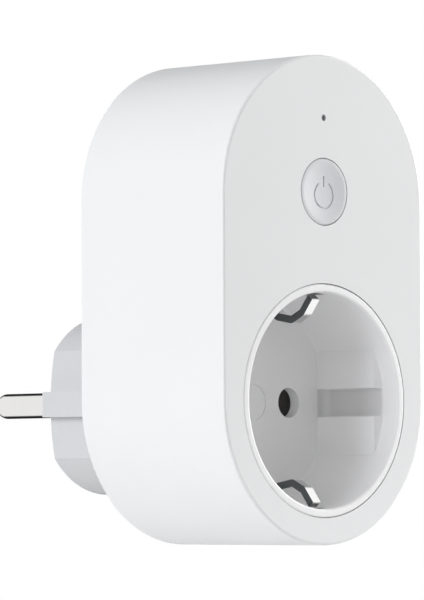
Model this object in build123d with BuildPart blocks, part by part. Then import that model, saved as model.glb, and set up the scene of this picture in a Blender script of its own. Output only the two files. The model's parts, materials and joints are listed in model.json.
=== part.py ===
from build123d import *
import os
from math import atan2, cos, degrees, radians, sin, tan

# Smart plug for 16 A round-pin sockets with side earth contacts.
# Millimetres, +Z up. X runs to the right as seen from the front, +Y runs into the wall.
# The origin is on the plug's axis, at the end face that the two pins stand out of.

os.makedirs("parts", exist_ok=True)

# ---- Case -------------------------------------------------------------------------------
case_width = 53.0
end_spacing = 37.0            # between the axes of the two round ends
case_depth = 37.0
case_wall = 2.0
front_wall = 2.2
rear_wall = 2.2
front_edge_radius = 0.5
rear_edge_radius = 0.4
seam_gap = 0.1                # every moulded lid or insert in its opening
seat_gap = 0.2                # between stacked pieces that must not bind

# ---- Plug boss and pins -----------------------------------------------------------------
boss_length = 21.0
boss_radius = 17.1
boss_flat = 14.8              # crown of each side flat, from the plug's axis
boss_flat_crown = 50.0        # radius that the side flats are bowed to
boss_key_width = 4.8
boss_key_reach = 16.9
boss_end_wall = 2.0
boss_end_radius = 0.6
boss_cavity_radius = 13.3
boss_cavity_half_width = 12.9
pin_spacing = 19.0
pin_radius = 2.4
pin_length = 19.0
pin_tip_radius = 1.9
pin_shoulder_step = 0.3       # of the shoulder in the boss's end wall over the pin
pin_groove_depth = 0.3        # relief groove where a pin leaves the boss
pin_groove_width = 0.3
pin_clearance = 0.05
pin_collar_radius = 3.2
pin_collar_length = 2.5
pin_shank_radius = 2.0
pin_shank_end = 8.0           # from the collar's back to the shank's inner end
earth_slot_floor = 15.3       # from the plug's axis
earth_slot_half_width = 2.7
earth_slot_end_wall = 1.2

# ---- Socket cup -------------------------------------------------------------------------
recess_radius = 19.85
recess_depth = 18.4
recess_edge_radius = 0.35
recess_floor_radius = 0.5
groove_floor_radius = 1.5     # blend between a guide groove and the recess floor
guide_edge_radius = 0.2
cup_ring_radius = 21.4
cup_base = 2.2
cup_flange_radius = 23.4
cup_flange_thickness = 1.6
guide_chord = 17.3            # flat of each guide rib, from the socket's axis
guide_front_depth = 3.85
guide_groove_width = 5.2
guide_root = 0.5              # how far the ribs reach into the cup's wall
contact_hole_radius = 2.81
centre_mark_radius = 3.4
centre_mark_width = 0.3
centre_mark_depth = 0.2
clip_pocket_half_width = 2.9
clip_pocket_front = 2.8
clip_pocket_floor = 16.4      # nearest the axis, through the base
clip_pocket_roof = 21.9
clip_pocket_wall = 1.2

# ---- Earth brackets ---------------------------------------------------------------------
bracket_half_width = 2.4
socket_bracket_thickness = 1.4
socket_arm_inner = 17.0
clip_half_width = 1.0
clip_tip_depth, clip_tip_reach = 2.25, 18.6
clip_ramp_depth, clip_ramp_reach = 4.5, 15.7
clip_apex_depth, clip_apex_reach = 7.4, 14.3
clip_knee_depth, clip_knee_reach = 11.4, 15.0
clip_heel_depth = 14.0
clip_root_depth = 15.5        # where the clip widens to the bracket's own width
clip_bend_radius = 1.6
plug_bracket_thickness = 0.8
plug_bend_radius = 1.5
earth_slit_height = 1.4       # where a strip passes through the back plate
plug_strip_end_gap = 0.4
rivet_radius = 1.2
rivet_head_radius = 2.0
rivet_head_thickness = 0.5
rivet_reach = 7.0

# ---- Shutter ----------------------------------------------------------------------------
shutter_travel = 5.8
shutter_bar_inner = 3.6
shutter_bar_outer = 6.2
shutter_bar_thickness = 1.2
shutter_blade_half_width = 3.1
shutter_lip = 1.5             # flat stretch of each blade before its ramp
shutter_toe = 0.6             # height left at the ramp's low end
shutter_depth = 4.25
shutter_side_gap = 0.1
rail_width = 1.2
rail_left_end = 19.0
lug_x = 9.0
lug_thickness = 1.2
lug_length = 5.0
lug_clearance = 0.8
spring_z = -9.4
spring_seat_x = -6.0
spring_seat_thickness = 1.2
spring_wire_radius = 0.2
spring_coil_radius = 1.4

# ---- Contact carrier and contacts -------------------------------------------------------
carrier_radius = 18.4
carrier_plate = 1.8
carrier_hole_radius = 3.0
carrier_notch_half_width = 3.4
carrier_notch_floor = 14.4
tower_length = 6.4
tower_half_width = 4.2
tower_wall = 0.7
contact_sheet = 0.6
contact_bore_radius = 2.35
contact_slit = 1.0
contact_tail_half_width = 2.0
contact_tail_rise = 2.1       # of the tail's tip above the power board's lower edge

# ---- Screws -----------------------------------------------------------------------------
post_radius = 2.8
post_web = 1.2                # rib that ties a post to the side wall
cover_pilot_radius = 1.15
cover_shank_radius = 1.1
cover_head_radius = 2.3
cover_head_height = 1.6
cover_screw_length = 9.0
well_radius = 2.6
well_wall = 0.8
well_depth = 4.0
well_floor = 1.0
small_post_radius = 2.2
small_pilot_radius = 0.95
small_shank_radius = 0.9
small_head_radius = 1.9
small_head_height = 1.2
small_screw_length = 4.6
screw_hole_clearance = 0.3
drive_socket_radius = 0.9
drive_socket_depth = 0.7
drive_slot_width = 0.4
screw_pilot_spare = 1.0       # pilot left beyond each screw's tip
upper_post_angle = 44.6       # round the case's upper end, from X
lower_post_z = 19.6
board_post_z = 26.5
board_post_inset = 4.2        # from the case's inner wall
cup_posts = [(-16.0, -13.0), (16.0, -13.0)]
carrier_posts = [(-8.5, 13.2), (8.5, 13.2), (-8.5, -14.2), (8.5, -14.2)]
pin_carrier_posts = [(0.0, 9.0), (0.0, -9.0)]
control_posts = [(-8.4, 31.4), (8.4, 31.4), (-8.4, 55.4), (8.4, 55.4)]
pin_carrier_thickness = 3.0

# ---- Button, switch and status light ----------------------------------------------------
button_z = 38.3
button_radius = 6.15
button_clearance = 0.1
button_dish_depth = 0.18
button_dish_radius = 5.4
button_edge_radius = 0.25
button_flange_radius = 7.2
button_flange_thickness = 0.7
button_flange_gap = 0.05
button_stem_radius = 1.6
glyph_depth = 0.12
glyph_width = 0.34
glyph_radius = 2.45
glyph_gap = 2.6               # opening at the ring's top
glyph_drop = 0.6              # the ring's centre below the button's
glyph_bar_rise = 1.87         # the bar's middle above the button's centre
glyph_bar_length = 2.05
light_z = 51.9
light_hole_radius = 0.6
light_stem_radius = 0.55
light_stem_recess = 0.35
light_base_radius = 1.6

# ---- Boards -----------------------------------------------------------------------------
control_board_depth = 8.0
control_board_thickness = 1.2
control_board_half_width = 11.0
control_board_bottom = 28.8
control_board_top = 58.0
contact_tail_drop = 2.25      # from the contacts' ends forward to the power board's back
power_board_thickness = 1.6
power_board_bottom = 23.2
power_board_inset = 2.1       # from the case's inner wall
post_room = 0.4               # board notch around a screw well

# ---- Components -------------------------------------------------------------------------
relay_x, relay_z = 0.0, 30.0
relay_length = 29.0
relay_width = 12.7
relay_height = 15.7
relay_wall = 0.7
relay_base_thickness = 1.2
relay_yoke_x = 0.5
relay_yoke_thickness = 1.0
relay_coil_x = -7.0
relay_coil_radius = 4.5
relay_coil_length = 9.0
relay_core_radius = 2.4
relay_core_stand = 0.7
relay_air_gap = 0.5
armature_thickness = 0.8
armature_left = -12.2
armature_right = 3.2
armature_half_width = 4.2

transformer_x, transformer_z = -12.3, 44.1
transformer_length = 12.0
transformer_width = 9.0
transformer_height = 11.0
transformer_core_band = 4.4
transformer_bobbin_inset = 1.0
film_capacitor_x, film_capacitor_z = 13.5, 39.9
film_capacitor_length = 13.0
film_capacitor_width = 6.0
film_capacitor_height = 12.0
bulk_places = [(8.6, 47.8), (0.0, 44.2)]
bulk_radius = 4.0
bulk_height = 13.0
bulk_edge_radius = 0.6
bulk_groove_height = 2.2      # crimp groove above the board
bulk_groove_depth = 0.35
varistor_x, varistor_z = -18.2, 34.2
varistor_radius = 5.0
varistor_thickness = 4.0
varistor_stand = 1.5
fuse_x, fuse_z = 18.5, 32.6
fuse_radius = 3.8
fuse_height = 7.5
rectifier_x, rectifier_z = 0.0, 38.3
rectifier_length = 6.6
rectifier_width = 2.8
rectifier_height = 2.5
choke_x, choke_z = 17.3, 45.9
choke_radius = 2.8
choke_height = 8.0
choke_waist = 0.5
choke_flange = 1.0
switch_body_width = 6.0
switch_body_height = 3.3
switch_plunger_radius = 1.75
switch_plunger_stand = 1.1
switch_well_room = 0.6
switch_well_floor = 0.8
switch_edge_radius = 0.4
led_length, led_width, led_height = 1.6, 0.8, 0.6
led_pocket_radius = 1.2
radio_z = 42.3
radio_length = 16.6
radio_width = 15.0
radio_thickness = 0.8
shield_z = 41.8
shield_length = 9.6
shield_width = 12.0
shield_height = 2.2
shield_wall = 0.3
header_z = 52.5
header_pins = 4
header_pitch = 2.54
header_bar = 2.54
header_pin_width = 0.64

# ---- Leads from the plug's pins to the power board --------------------------------------
lead_radius = 0.9
lead_straight = 4.0           # out of the pin's shank before the first bend
lead_inward_x = 5.2
lead_drop_depth = 38.5
lead_drop_z = 7.0
lead_turn_z = 8.5

# ---- Derived values ---------------------------------------------------------------------
case_height = case_width + end_spacing
inner_radius = case_width / 2 - case_wall
pin_x = pin_spacing / 2
pin_shoulder_radius = pin_radius + pin_shoulder_step
cup_back = recess_depth + cup_base
shutter_front = cup_back + seat_gap
shutter_back = shutter_front + shutter_depth
carrier_front = shutter_back + seat_gap
carrier_back = carrier_front + carrier_plate
bracket_bridge = carrier_back + rivet_head_thickness + 0.1
plug_bridge = bracket_bridge + socket_bracket_thickness
cover_front = case_depth - rear_wall
boss_end = case_depth + boss_length
pin_collar_back = boss_end - boss_end_wall - pin_collar_length
post_end = case_depth - well_depth - well_floor
well_outer_radius = well_radius + well_wall
post_reach = inner_radius - seam_gap - well_outer_radius - seat_gap
upper_post_x = post_reach * cos(radians(upper_post_angle))
upper_post_z = end_spacing + post_reach * sin(radians(upper_post_angle))
board_post_reach = inner_radius - board_post_inset
shell_posts = [
    (-upper_post_x, upper_post_z),
    (upper_post_x, upper_post_z),
    (-post_reach, lower_post_z),
    (post_reach, lower_post_z),
]
board_posts = [
    (-board_post_reach, board_post_z),
    (board_post_reach, board_post_z),
    (0.0, end_spacing + board_post_reach),
]
rear_face = Plane.back.offset(-boss_length)
earth_slot_middle = earth_slot_floor + earth_slit_height / 2
clip_pocket_middle = (clip_pocket_floor + clip_pocket_roof) / 2
plug_strip_end = boss_end - earth_slot_end_wall - plug_strip_end_gap
blade_right = pin_x + shutter_blade_half_width
rail_z = shutter_bar_outer + shutter_side_gap + rail_width / 2
rail_middle = (blade_right - rail_left_end) / 2
low_rail_gap_left = lug_x - shutter_travel - lug_clearance
low_rail_gap_right = lug_x + lug_thickness + lug_clearance
low_rail_left_length = rail_left_end + low_rail_gap_left
low_rail_left_middle = (low_rail_gap_left - rail_left_end) / 2
low_rail_right_length = blade_right - low_rail_gap_right
low_rail_right_middle = (blade_right + low_rail_gap_right) / 2
lug_middle_z = -shutter_bar_outer - lug_length / 2
spring_seat_z = lug_middle_z - shutter_side_gap
tower_inner_half = tower_half_width - tower_wall
tower_end = carrier_back + tower_length
contact_end = tower_end + seat_gap + contact_sheet
power_board_back = contact_end - contact_tail_drop
power_board_depth = power_board_back - power_board_thickness
contact_tail_top = power_board_bottom + contact_tail_rise
shank_end = pin_collar_back - pin_shank_end
lead_depth = power_board_depth + lead_radius
button_flange_front = front_wall + button_flange_gap
button_flange_back = button_flange_front + button_flange_thickness
plunger_top = control_board_depth - switch_body_height - switch_plunger_stand
relay_base_front = power_board_depth - relay_base_thickness
relay_core_front = relay_base_front - seat_gap - relay_coil_length - relay_core_stand
armature_back = relay_core_front - relay_air_gap
yoke_axis_depth = armature_back + seam_gap + relay_yoke_thickness / 2
dish_sphere = (button_dish_radius ** 2 + button_dish_depth ** 2) / (2 * button_dish_depth)
control_board_back = control_board_depth + control_board_thickness


def at_depth(depth):
    """The plane parallel to the front face, this far behind it; it looks at the viewer."""
    return Plane.XZ.offset(boss_end - depth)


def side_plane(x):
    """A plane square to X, with Y and Z as its own axes."""
    return Plane.YZ.offset(x)


def y_of(depth):
    """The Y coordinate of a depth behind the front face."""
    return depth - boss_end


def lobed_outline(inset, mode=Mode.ADD):
    """The case's long outline with round ends, the lower end on the socket's axis."""
    with Locations((0, end_spacing / 2)):
        SlotCenterToCenter(end_spacing, case_width - 2 * inset, rotation=90, mode=mode)


def bend_radii(points):
    """The largest arcs that the runs beside each corner of a lead's route allow."""
    radii = []
    for before, corner, after in zip(points, points[1:], points[2:]):
        run_in = Vector(*corner) - Vector(*before)
        run_out = Vector(*after) - Vector(*corner)
        turn = radians(run_in.get_angle(run_out))
        radii.append(0.45 * min(run_in.length, run_out.length) / tan(turn / 2))
    return radii


# ---- Front shell: face and side wall in one moulding --------------------------------------
with BuildPart() as front_shell:
    with BuildSketch(at_depth(0)):
        lobed_outline(0)
    extrude(amount=-case_depth)
    fillet(front_shell.edges().group_by(Axis.Y)[0], front_edge_radius)
    fillet(front_shell.edges().group_by(Axis.Y)[-1], rear_edge_radius)
    with BuildSketch(at_depth(front_wall)):
        lobed_outline(case_wall)
    extrude(amount=-case_depth, mode=Mode.SUBTRACT)
    with BuildSketch(at_depth(front_wall)):
        for x, z in shell_posts:
            with Locations((x, z)):
                Circle(post_radius)
            outward = atan2(max(z - end_spacing, 0), x)
            with Locations((x + post_radius * cos(outward), z + post_radius * sin(outward))):
                Rectangle(post_radius, post_web, rotation=degrees(outward))
    extrude(amount=front_wall - post_end)
    with BuildSketch(at_depth(front_wall)):
        with Locations(*control_posts):
            Circle(small_post_radius)
    extrude(amount=front_wall - control_board_depth)
    with BuildSketch(at_depth(post_end)):
        with Locations(*shell_posts):
            Circle(cover_pilot_radius)
    extrude(amount=cover_screw_length + screw_pilot_spare, mode=Mode.SUBTRACT)
    with BuildSketch(at_depth(control_board_depth)):
        with Locations(*control_posts):
            Circle(small_pilot_radius)
    extrude(amount=small_screw_length, mode=Mode.SUBTRACT)
    with BuildSketch(at_depth(0)):
        Circle(cup_ring_radius + seam_gap)
        with Locations((0, button_z)):
            Circle(button_radius + button_clearance)
        with Locations((0, light_z)):
            Circle(light_hole_radius)
    extrude(amount=-front_wall, mode=Mode.SUBTRACT)
front_shell.part.label = "front_shell"
export_step(front_shell.part, "parts/front_shell.step")

# ---- Rear cover: back plate and plug boss in one moulding ---------------------------------
with BuildPart() as rear_cover:
    with BuildSketch(at_depth(case_depth)):
        Circle(boss_radius)
        with Locations((boss_flat - boss_flat_crown, 0)):
            Circle(boss_flat_crown, mode=Mode.INTERSECT)
        with Locations((boss_flat_crown - boss_flat, 0)):
            Circle(boss_flat_crown, mode=Mode.INTERSECT)
        Rectangle(2 * boss_key_reach, boss_key_width)
    extrude(amount=-boss_length)
    fillet(rear_cover.faces().sort_by(Axis.Y)[-1].edges(), boss_end_radius)
    with BuildSketch(at_depth(cover_front)):
        lobed_outline(case_wall + seam_gap)
    extrude(amount=cover_front - case_depth)
    with BuildSketch(at_depth(cover_front)):
        with Locations(*shell_posts, *cup_posts):
            Circle(well_outer_radius)
        lobed_outline(case_wall + seam_gap, mode=Mode.INTERSECT)
    extrude(amount=cover_front - post_end)
    with BuildSketch(at_depth(cover_front)):
        with Locations(*board_posts):
            Circle(small_post_radius)
    extrude(amount=cover_front - power_board_back)
    with BuildSketch(at_depth(cover_front)):
        Circle(boss_cavity_radius)
        Rectangle(2 * boss_cavity_half_width, 2 * boss_cavity_radius, mode=Mode.INTERSECT)
    extrude(amount=cover_front - (boss_end - boss_end_wall), mode=Mode.SUBTRACT)
    with BuildSketch(at_depth(boss_end - boss_end_wall)):
        with Locations(*pin_carrier_posts):
            Circle(small_post_radius)
    extrude(amount=pin_collar_length)
    with BuildSketch(at_depth(pin_collar_back)):
        with Locations(*pin_carrier_posts):
            Circle(small_pilot_radius)
    extrude(amount=-(pin_collar_length + boss_end_wall / 2), mode=Mode.SUBTRACT)
    with BuildSketch(at_depth(power_board_back)):
        with Locations(*board_posts):
            Circle(small_pilot_radius)
    extrude(amount=-(cover_front - power_board_back + rear_wall / 2), mode=Mode.SUBTRACT)
    with BuildSketch(at_depth(boss_end)):
        with Locations((-pin_x, 0), (pin_x, 0)):
            Circle(pin_shoulder_radius + pin_clearance)
    extrude(amount=boss_end_wall, mode=Mode.SUBTRACT)
    with BuildSketch(at_depth(case_depth)):
        Rectangle(2 * earth_slot_half_width, 3 * boss_radius)
        Rectangle(3 * boss_radius, 2 * earth_slot_floor, mode=Mode.SUBTRACT)
    extrude(amount=earth_slot_end_wall - boss_length, mode=Mode.SUBTRACT)
    with BuildSketch(at_depth(cover_front)):
        with Locations((0, earth_slot_middle), (0, -earth_slot_middle)):
            Rectangle(2 * earth_slot_half_width, earth_slit_height)
    extrude(amount=cover_front - case_depth, mode=Mode.SUBTRACT)
    with Locations(rear_face):
        with Locations(*[(-x, z) for x, z in shell_posts + cup_posts]):
            CounterBoreHole(
                cover_shank_radius + screw_hole_clearance,
                well_radius,
                well_depth,
                well_depth + well_floor,
            )
rear_cover.part.label = "rear_cover"
export_step(rear_cover.part, "parts/rear_cover.step")

# ---- Socket cup: ring, recess, guide ribs, clip pockets and base --------------------------
with BuildPart() as socket_cup:
    with BuildSketch(at_depth(0)):
        Circle(cup_ring_radius)
    extrude(amount=-cup_back)
    with BuildSketch(at_depth(front_wall)):
        Circle(cup_flange_radius)
    extrude(amount=-cup_flange_thickness)
    with BuildSketch(at_depth(front_wall)):
        Rectangle(
            2 * (clip_pocket_half_width + clip_pocket_wall),
            2 * (clip_pocket_roof + clip_pocket_wall),
        )
    extrude(amount=front_wall - cup_back)
    with BuildSketch(at_depth(0)):
        Circle(recess_radius)
    extrude(amount=-recess_depth, mode=Mode.SUBTRACT)
    fillet(socket_cup.edges().filter_by(GeomType.CIRCLE).group_by(Axis.Y)[0], recess_edge_radius)
    with BuildSketch(at_depth(guide_front_depth)):
        Circle(recess_radius + guide_root)
        Rectangle(2 * guide_chord, 3 * recess_radius, mode=Mode.SUBTRACT)
        Rectangle(3 * recess_radius, guide_groove_width, mode=Mode.SUBTRACT)
    extrude(amount=guide_front_depth - recess_depth)
    floor_edges = socket_cup.edges().filter_by_position(Axis.Y, y_of(recess_depth), y_of(recess_depth))
    floor_arcs = floor_edges.filter_by(GeomType.CIRCLE).sort_by(SortBy.LENGTH)
    fillet(floor_arcs[:2], groove_floor_radius)
    floor_edges = socket_cup.edges().filter_by_position(Axis.Y, y_of(recess_depth), y_of(recess_depth))
    fillet(floor_edges.filter_by(GeomType.CIRCLE).sort_by(SortBy.LENGTH)[-2:], recess_floor_radius)
    guide_edges = socket_cup.edges().filter_by(Axis.Y).filter_by_position(
        Axis.Z, -guide_groove_width / 2, guide_groove_width / 2
    )
    fillet(guide_edges.filter_by(lambda e: abs(e.center().X) < guide_chord + 0.001), guide_edge_radius)
    with BuildSketch(at_depth(clip_pocket_front)):
        with Locations((0, clip_pocket_middle), (0, -clip_pocket_middle)):
            Rectangle(2 * clip_pocket_half_width, clip_pocket_roof - clip_pocket_floor)
    extrude(amount=clip_pocket_front - cup_back, mode=Mode.SUBTRACT)
    with BuildSketch(at_depth(recess_depth)):
        with Locations((-pin_x, 0), (pin_x, 0)):
            Circle(contact_hole_radius)
    extrude(amount=-cup_base, mode=Mode.SUBTRACT)
    with BuildSketch(at_depth(recess_depth)):
        Circle(centre_mark_radius)
        Circle(centre_mark_radius - centre_mark_width, mode=Mode.SUBTRACT)
    extrude(amount=-centre_mark_depth, mode=Mode.SUBTRACT)
    with BuildSketch(at_depth(cup_back)):
        with Locations((rail_middle, rail_z)):
            Rectangle(rail_left_end + blade_right, rail_width)
        with Locations((low_rail_left_middle, -rail_z)):
            Rectangle(low_rail_left_length, rail_width)
        with Locations((low_rail_right_middle, -rail_z)):
            Rectangle(low_rail_right_length, rail_width)
        with Locations((spring_seat_x - spring_seat_thickness / 2, spring_seat_z)):
            Rectangle(spring_seat_thickness, lug_length)
        with Locations(*carrier_posts):
            Circle(small_post_radius)
    extrude(amount=cup_back - carrier_front)
    with BuildSketch(at_depth(cup_back)):
        with Locations(*cup_posts):
            Circle(post_radius)
    extrude(amount=cup_back - post_end)
    with BuildSketch(at_depth(carrier_front)):
        with Locations(*carrier_posts):
            Circle(small_pilot_radius)
    extrude(amount=carrier_front - cup_back, mode=Mode.SUBTRACT)
    with BuildSketch(at_depth(post_end)):
        with Locations(*cup_posts):
            Circle(cover_pilot_radius)
    extrude(amount=cover_screw_length + screw_pilot_spare, mode=Mode.SUBTRACT)
socket_cup.part.label = "socket_cup"
export_step(socket_cup.part, "parts/socket_cup.step")

# ---- Shutter: a slider whose two ramps the plug's pins push aside together ----------------
with BuildPart() as shutter:
    with BuildSketch(at_depth(shutter_front)):
        Rectangle(2 * blade_right, 2 * shutter_bar_outer)
        Rectangle(2 * blade_right, 2 * shutter_bar_inner, mode=Mode.SUBTRACT)
    extrude(amount=-shutter_bar_thickness)
    with BuildSketch(Plane.XY):
        for middle in (-pin_x, pin_x):
            with BuildLine():
                Polyline(
                    (middle - shutter_blade_half_width, y_of(shutter_front)),
                    (middle - shutter_blade_half_width + shutter_lip, y_of(shutter_front)),
                    (middle + shutter_blade_half_width, y_of(shutter_back - shutter_toe)),
                    (middle + shutter_blade_half_width, y_of(shutter_back)),
                    (middle - shutter_blade_half_width, y_of(shutter_back)),
                    close=True,
                )
            make_face()
    extrude(amount=shutter_bar_inner, both=True)
    with BuildSketch(at_depth(shutter_front)):
        with Locations((lug_x + lug_thickness / 2, lug_middle_z)):
            Rectangle(lug_thickness, lug_length)
    extrude(amount=-shutter_depth)
shutter.part.label = "shutter"
export_step(shutter.part, "parts/shutter.step")

with BuildPart() as shutter_spring:
    with BuildSketch(side_plane(spring_seat_x)):
        with Locations((y_of(shutter_front + shutter_depth / 2), spring_z)):
            Circle(spring_coil_radius + spring_wire_radius)
            Circle(spring_coil_radius - spring_wire_radius, mode=Mode.SUBTRACT)
    extrude(amount=lug_x - spring_seat_x)
shutter_spring.part.label = "shutter_spring"
export_step(shutter_spring.part, "parts/shutter_spring.step")

# ---- Contact carrier: closes the shutter's bay and holds the two pin contacts -------------
with BuildPart() as contact_carrier:
    with BuildSketch(at_depth(carrier_front)):
        Circle(carrier_radius)
        with GridLocations(0, 2 * carrier_notch_floor + carrier_radius, 1, 2):
            Rectangle(2 * carrier_notch_half_width, carrier_radius, mode=Mode.SUBTRACT)
        with Locations(*cup_posts):
            Circle(post_radius + screw_hole_clearance, mode=Mode.SUBTRACT)
        with Locations(*carrier_posts):
            Circle(small_shank_radius + screw_hole_clearance, mode=Mode.SUBTRACT)
    extrude(amount=-carrier_plate)
    with BuildSketch(at_depth(carrier_back)):
        with Locations((-pin_x, 0), (pin_x, 0)):
            Rectangle(2 * tower_half_width, 2 * tower_half_width)
            Rectangle(2 * tower_inner_half, 2 * tower_inner_half, mode=Mode.SUBTRACT)
    extrude(amount=-tower_length)
    with BuildSketch(at_depth(carrier_front)):
        with Locations((-pin_x, 0), (pin_x, 0)):
            Circle(carrier_hole_radius)
    extrude(amount=-carrier_plate, mode=Mode.SUBTRACT)
contact_carrier.part.label = "contact_carrier"
export_step(contact_carrier.part, "parts/contact_carrier.step")

# ---- Pin contacts: a slit sleeve with a tail that is soldered to the power board ----------
for circuit, x in (("live", -pin_x), ("neutral", pin_x)):
    with BuildPart() as contact:
        with BuildSketch(at_depth(carrier_back + seat_gap)):
            with Locations((x, 0)):
                Circle(contact_bore_radius + contact_sheet)
                Circle(contact_bore_radius, mode=Mode.SUBTRACT)
            with Locations((x, -contact_bore_radius)):
                Rectangle(contact_slit, 2 * contact_bore_radius, mode=Mode.SUBTRACT)
        extrude(amount=carrier_back + seat_gap - contact_end)
        with BuildSketch(side_plane(x)):
            with BuildLine():
                Polyline(
                    (y_of(contact_end), contact_bore_radius + contact_sheet / 4),
                    (y_of(contact_end), contact_tail_top),
                    (y_of(power_board_back), contact_tail_top),
                    (y_of(power_board_back), contact_tail_top - contact_sheet),
                    (y_of(contact_end - contact_sheet), contact_tail_top - contact_sheet),
                    (y_of(contact_end - contact_sheet), contact_bore_radius + contact_sheet / 4),
                    close=True,
                )
            make_face()
        extrude(amount=contact_tail_half_width, both=True)
    contact.part.label = f"{circuit}_contact"
    export_step(contact.part, f"parts/{circuit}_contact.step")

# ---- Earth brackets: one bent strip each for the socket side and the plug side ------------
with BuildPart() as socket_earth_bracket:
    with BuildSketch(Plane.YZ):
        with BuildLine() as clip_line:
            arm = [
                (y_of(clip_tip_depth), clip_tip_reach),
                (y_of(clip_ramp_depth), clip_ramp_reach),
                (y_of(clip_apex_depth), clip_apex_reach),
                (y_of(clip_knee_depth), clip_knee_reach),
                (y_of(clip_heel_depth), socket_arm_inner),
                (y_of(bracket_bridge), socket_arm_inner),
            ]
            mirrored_arm = [(y, -z) for y, z in reversed(arm)]
            FilletPolyline(*arm, *mirrored_arm, radius=clip_bend_radius)
            offset(amount=socket_bracket_thickness, side=Side.LEFT)
        make_face()
    extrude(amount=bracket_half_width, both=True)
    with BuildSketch(at_depth(0)):
        Rectangle(3 * bracket_half_width, 3 * recess_radius)
        Rectangle(2 * clip_half_width, 3 * recess_radius, mode=Mode.SUBTRACT)
    extrude(amount=-clip_root_depth, mode=Mode.SUBTRACT)
    with BuildSketch(at_depth(bracket_bridge)):
        with Locations((0, rivet_reach), (0, -rivet_reach)):
            Circle(rivet_radius + pin_clearance)
    extrude(amount=-socket_bracket_thickness, mode=Mode.SUBTRACT)
socket_earth_bracket.part.label = "socket_earth_bracket"
export_step(socket_earth_bracket.part, "parts/socket_earth_bracket.step")

with BuildPart() as plug_earth_bracket:
    with BuildSketch(Plane.YZ):
        with BuildLine():
            FilletPolyline(
                (y_of(plug_strip_end), earth_slot_floor),
                (y_of(plug_bridge + plug_bracket_thickness), earth_slot_floor),
                (y_of(plug_bridge + plug_bracket_thickness), -earth_slot_floor),
                (y_of(plug_strip_end), -earth_slot_floor),
                radius=plug_bend_radius,
            )
            offset(amount=plug_bracket_thickness, side=Side.RIGHT)
        make_face()
    extrude(amount=bracket_half_width, both=True)
    with BuildSketch(at_depth(plug_bridge)):
        with Locations((0, rivet_reach), (0, -rivet_reach)):
            Circle(rivet_radius + pin_clearance)
    extrude(amount=-plug_bracket_thickness, mode=Mode.SUBTRACT)
plug_earth_bracket.part.label = "plug_earth_bracket"
export_step(plug_earth_bracket.part, "parts/plug_earth_bracket.step")

with BuildPart() as earth_rivets:
    with BuildSketch(at_depth(bracket_bridge - rivet_head_thickness)):
        with Locations((0, rivet_reach), (0, -rivet_reach)):
            Circle(rivet_head_radius)
    extrude(amount=-rivet_head_thickness)
    with BuildSketch(at_depth(plug_bridge + plug_bracket_thickness)):
        with Locations((0, rivet_reach), (0, -rivet_reach)):
            Circle(rivet_head_radius)
    extrude(amount=-rivet_head_thickness)
    with BuildSketch(at_depth(bracket_bridge)):
        with Locations((0, rivet_reach), (0, -rivet_reach)):
            Circle(rivet_radius)
    extrude(amount=-(socket_bracket_thickness + plug_bracket_thickness))
earth_rivets.part.label = "earth_rivets"
export_step(earth_rivets.part, "parts/earth_rivets.step")

# ---- Plug pins and the carrier that clamps their collars ----------------------------------
for circuit, x in (("live", -pin_x), ("neutral", pin_x)):
    with BuildPart() as plug_pin:
        with BuildSketch(at_depth(boss_end + pin_groove_width)):
            with Locations((x, 0)):
                Circle(pin_radius)
        extrude(amount=pin_groove_width - pin_length)
        fillet(plug_pin.edges().sort_by(Axis.Y)[-1], pin_tip_radius)
        with BuildSketch(at_depth(boss_end)):
            with Locations((x, 0)):
                Circle(pin_radius - pin_groove_depth)
        extrude(amount=-pin_groove_width)
        with BuildSketch(at_depth(boss_end)):
            with Locations((x, 0)):
                Circle(pin_shoulder_radius)
        extrude(amount=boss_end_wall)
        with BuildSketch(at_depth(boss_end - boss_end_wall)):
            with Locations((x, 0)):
                Circle(pin_collar_radius)
        extrude(amount=pin_collar_length)
        with BuildSketch(at_depth(pin_collar_back)):
            with Locations((x, 0)):
                Circle(pin_shank_radius)
        extrude(amount=pin_shank_end)
    plug_pin.part.label = f"{circuit}_pin"
    export_step(plug_pin.part, f"parts/{circuit}_pin.step")

with BuildPart() as pin_carrier:
    with BuildSketch(at_depth(pin_collar_back)):
        Circle(boss_cavity_radius - seam_gap)
        Rectangle(
            2 * (boss_cavity_half_width - seam_gap),
            2 * boss_cavity_radius,
            mode=Mode.INTERSECT,
        )
        with Locations((-pin_x, 0), (pin_x, 0)):
            Circle(pin_shank_radius + pin_clearance, mode=Mode.SUBTRACT)
        with Locations(*pin_carrier_posts):
            Circle(small_shank_radius + screw_hole_clearance, mode=Mode.SUBTRACT)
    extrude(amount=pin_carrier_thickness)
pin_carrier.part.label = "pin_carrier"
export_step(pin_carrier.part, "parts/pin_carrier.step")

# ---- Leads: each runs from a pin's shank, out of the boss and up to the power board --------
for circuit, side in (("live", -1), ("neutral", 1)):
    lead_route = [
        (side * pin_x, y_of(shank_end), 0),
        (side * pin_x, y_of(shank_end - lead_straight), 0),
        (side * lead_inward_x, y_of(lead_drop_depth), lead_drop_z),
        (side * lead_inward_x, y_of(lead_depth), lead_turn_z),
        (side * lead_inward_x, y_of(lead_depth), power_board_bottom),
    ]
    with BuildPart() as lead:
        with BuildLine() as route:
            FilletPolyline(*lead_route, radius=bend_radii(lead_route))
        with BuildSketch(Plane(origin=route.line @ 0, z_dir=route.line % 0)):
            Circle(lead_radius)
        sweep()
    lead.part.label = f"{circuit}_lead"
    export_step(lead.part, f"parts/{circuit}_lead.step")

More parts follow.
